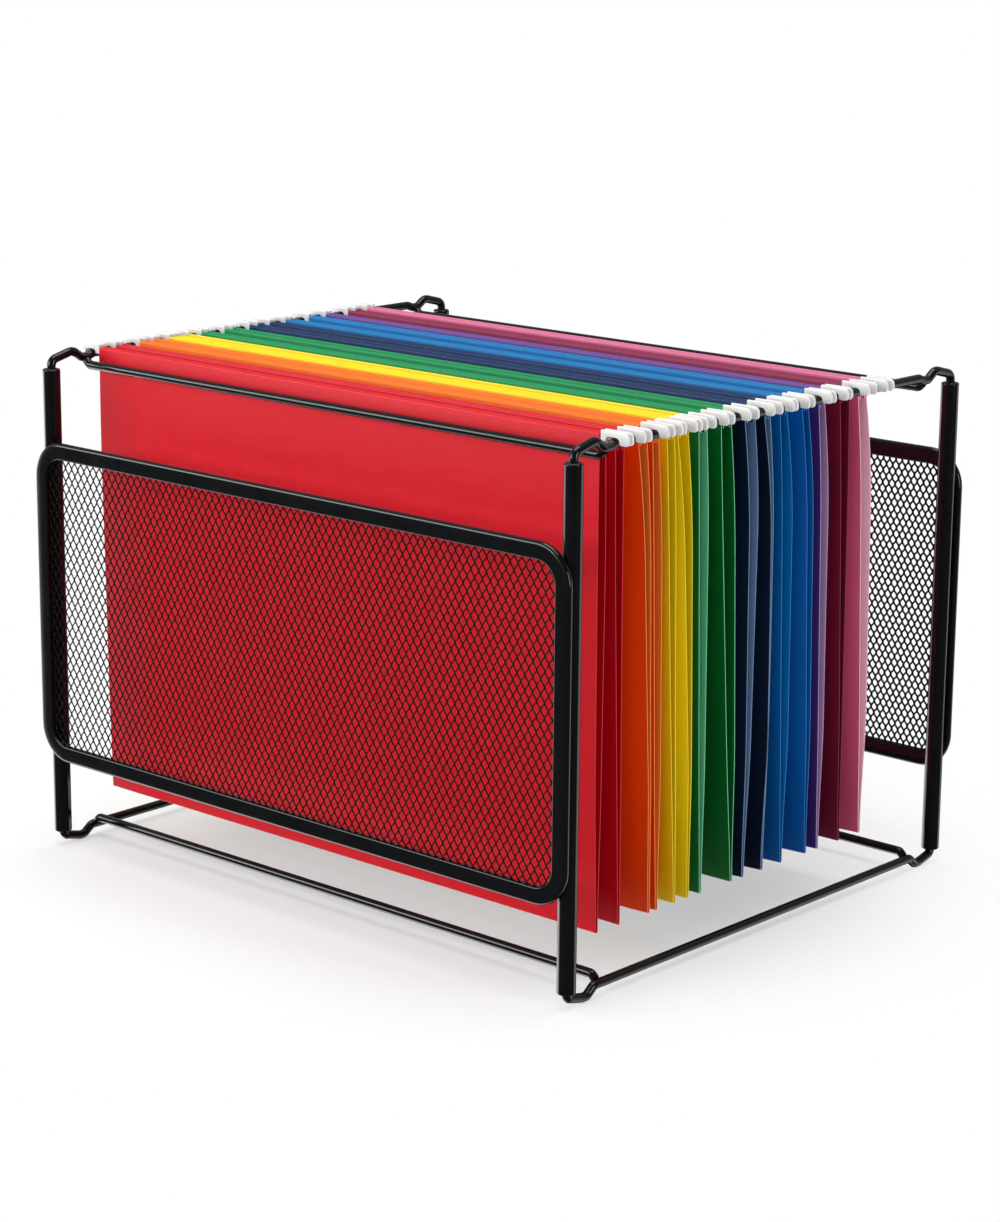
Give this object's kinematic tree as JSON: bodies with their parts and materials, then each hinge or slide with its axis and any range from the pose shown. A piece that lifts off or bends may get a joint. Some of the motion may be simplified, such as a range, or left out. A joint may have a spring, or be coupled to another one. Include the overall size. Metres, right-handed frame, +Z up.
{
  "type": "hanging file rack",
  "caption": "Desktop rack for hanging files: a black wire and tube frame with mesh front and rear panels, holding letter-size card folders in rainbow colours.",
  "frame": {"origin": "middle of the footprint, on the surface that the feet stand on", "axes": "+X along the folders to the right of the front panel, +Y from the front panel to the rear panel, +Z up"},
  "size_m": [0.3274, 0.273, 0.2341],
  "materials": {
    "black_enamel": "gloss black enamel on steel",
    "black_mesh": "satin black enamel on expanded steel mesh",
    "black_plug": "matt black plastic",
    "coated_rod": "off-white coating on steel strip",
    "card_red": "coloured card",
    "card_orange": "coloured card",
    "card_yellow": "coloured card",
    "card_green": "coloured card",
    "card_navy": "coloured card",
    "card_blue": "coloured card",
    "card_purple": "coloured card",
    "card_maroon": "coloured card",
    "card_pink": "coloured card"
  },
  "bodies": {
    "frame": {"post_front_left": "black_enamel", "post_front_right": "black_enamel", "post_rear_left": "black_enamel", "post_rear_right": "black_enamel", "left_rail": "black_enamel", "right_rail": "black_enamel", "front_top_tie": "black_enamel", "rear_top_tie": "black_enamel", "left_base_runner": "black_enamel", "right_base_runner": "black_enamel", "front_base_tie": "black_enamel", "rear_base_tie": "black_enamel", "top_post_plugs": "black_plug", "bottom_post_plugs": "black_plug", "front_panel_rim": "black_enamel", "rear_panel_rim": "black_enamel", "front_panel_mesh": "black_mesh", "rear_panel_mesh": "black_mesh"},
    "folder_01_red_1": {"folder_01_red_1_sleeve": "card_red", "folder_01_red_1_rods": "coated_rod"},
    "folder_02_red_2": {"folder_02_red_2_sleeve": "card_red", "folder_02_red_2_rods": "coated_rod"},
    "folder_03_orange_1": {"folder_03_orange_1_sleeve": "card_orange", "folder_03_orange_1_rods": "coated_rod"},
    "folder_04_orange_2": {"folder_04_orange_2_sleeve": "card_orange", "folder_04_orange_2_rods": "coated_rod"},
    "folder_05_yellow_1": {"folder_05_yellow_1_sleeve": "card_yellow", "folder_05_yellow_1_rods": "coated_rod"},
    "folder_06_yellow_2": {"folder_06_yellow_2_sleeve": "card_yellow", "folder_06_yellow_2_rods": "coated_rod"},
    "folder_07_green_1": {"folder_07_green_1_sleeve": "card_green", "folder_07_green_1_rods": "coated_rod"},
    "folder_08_green_2": {"folder_08_green_2_sleeve": "card_green", "folder_08_green_2_rods": "coated_rod"},
    "folder_09_navy_1": {"folder_09_navy_1_sleeve": "card_navy", "folder_09_navy_1_rods": "coated_rod"},
    "folder_10_navy_2": {"folder_10_navy_2_sleeve": "card_navy", "folder_10_navy_2_rods": "coated_rod"},
    "folder_11_blue_1": {"folder_11_blue_1_sleeve": "card_blue", "folder_11_blue_1_rods": "coated_rod"},
    "folder_12_blue_2": {"folder_12_blue_2_sleeve": "card_blue", "folder_12_blue_2_rods": "coated_rod"},
    "folder_13_purple": {"folder_13_purple_sleeve": "card_purple", "folder_13_purple_rods": "coated_rod"},
    "folder_14_maroon": {"folder_14_maroon_sleeve": "card_maroon", "folder_14_maroon_rods": "coated_rod"},
    "folder_15_pink": {"folder_15_pink_sleeve": "card_pink", "folder_15_pink_rods": "coated_rod"}
  },
  "joints": [
    {"name": "lift_folder_01_red_1", "type": "slide", "parent": "frame", "child": "folder_01_red_1", "axis": [0, -0.0053, 1], "range_m": [0, 0.23]},
    {"name": "lift_folder_02_red_2", "type": "slide", "parent": "frame", "child": "folder_02_red_2", "axis": [0, -0.022, 0.9998], "range_m": [0, 0.23]},
    {"name": "lift_folder_03_orange_1", "type": "slide", "parent": "frame", "child": "folder_03_orange_1", "axis": [0, -0.0401, 0.9992], "range_m": [0, 0.23]},
    {"name": "lift_folder_04_orange_2", "type": "slide", "parent": "frame", "child": "folder_04_orange_2", "axis": [0, -0.0287, 0.9996], "range_m": [0, 0.23]},
    {"name": "lift_folder_05_yellow_1", "type": "slide", "parent": "frame", "child": "folder_05_yellow_1", "axis": [0, -0.0406, 0.9992], "range_m": [0, 0.23]},
    {"name": "lift_folder_06_yellow_2", "type": "slide", "parent": "frame", "child": "folder_06_yellow_2", "axis": [0, -0.0406, 0.9992], "range_m": [0, 0.23]},
    {"name": "lift_folder_07_green_1", "type": "slide", "parent": "frame", "child": "folder_07_green_1", "axis": [0, -0.0244, 0.9997], "range_m": [0, 0.23]},
    {"name": "lift_folder_08_green_2", "type": "slide", "parent": "frame", "child": "folder_08_green_2", "axis": [0, -0.0525, 0.9986], "range_m": [0, 0.23]},
    {"name": "lift_folder_09_navy_1", "type": "slide", "parent": "frame", "child": "folder_09_navy_1", "axis": [0, -0.0053, 1], "range_m": [0, 0.23]},
    {"name": "lift_folder_10_navy_2", "type": "slide", "parent": "frame", "child": "folder_10_navy_2", "axis": [0, -0.0124, 0.9999], "range_m": [0, 0.23]},
    {"name": "lift_folder_11_blue_1", "type": "slide", "parent": "frame", "child": "folder_11_blue_1", "axis": [0, -0.0282, 0.9996], "range_m": [0, 0.23]},
    {"name": "lift_folder_12_blue_2", "type": "slide", "parent": "frame", "child": "folder_12_blue_2", "axis": [0, -0.0382, 0.9993], "range_m": [0, 0.23]},
    {"name": "lift_folder_13_purple", "type": "slide", "parent": "frame", "child": "folder_13_purple", "axis": [0, -0.0268, 0.9996], "range_m": [0, 0.23]},
    {"name": "lift_folder_14_maroon", "type": "slide", "parent": "frame", "child": "folder_14_maroon", "axis": [0, -0.0291, 0.9996], "range_m": [0, 0.23]},
    {"name": "lift_folder_15_pink", "type": "slide", "parent": "frame", "child": "folder_15_pink", "axis": [0, -0.0354, 0.9994], "range_m": [0, 0.23]}
  ]
}
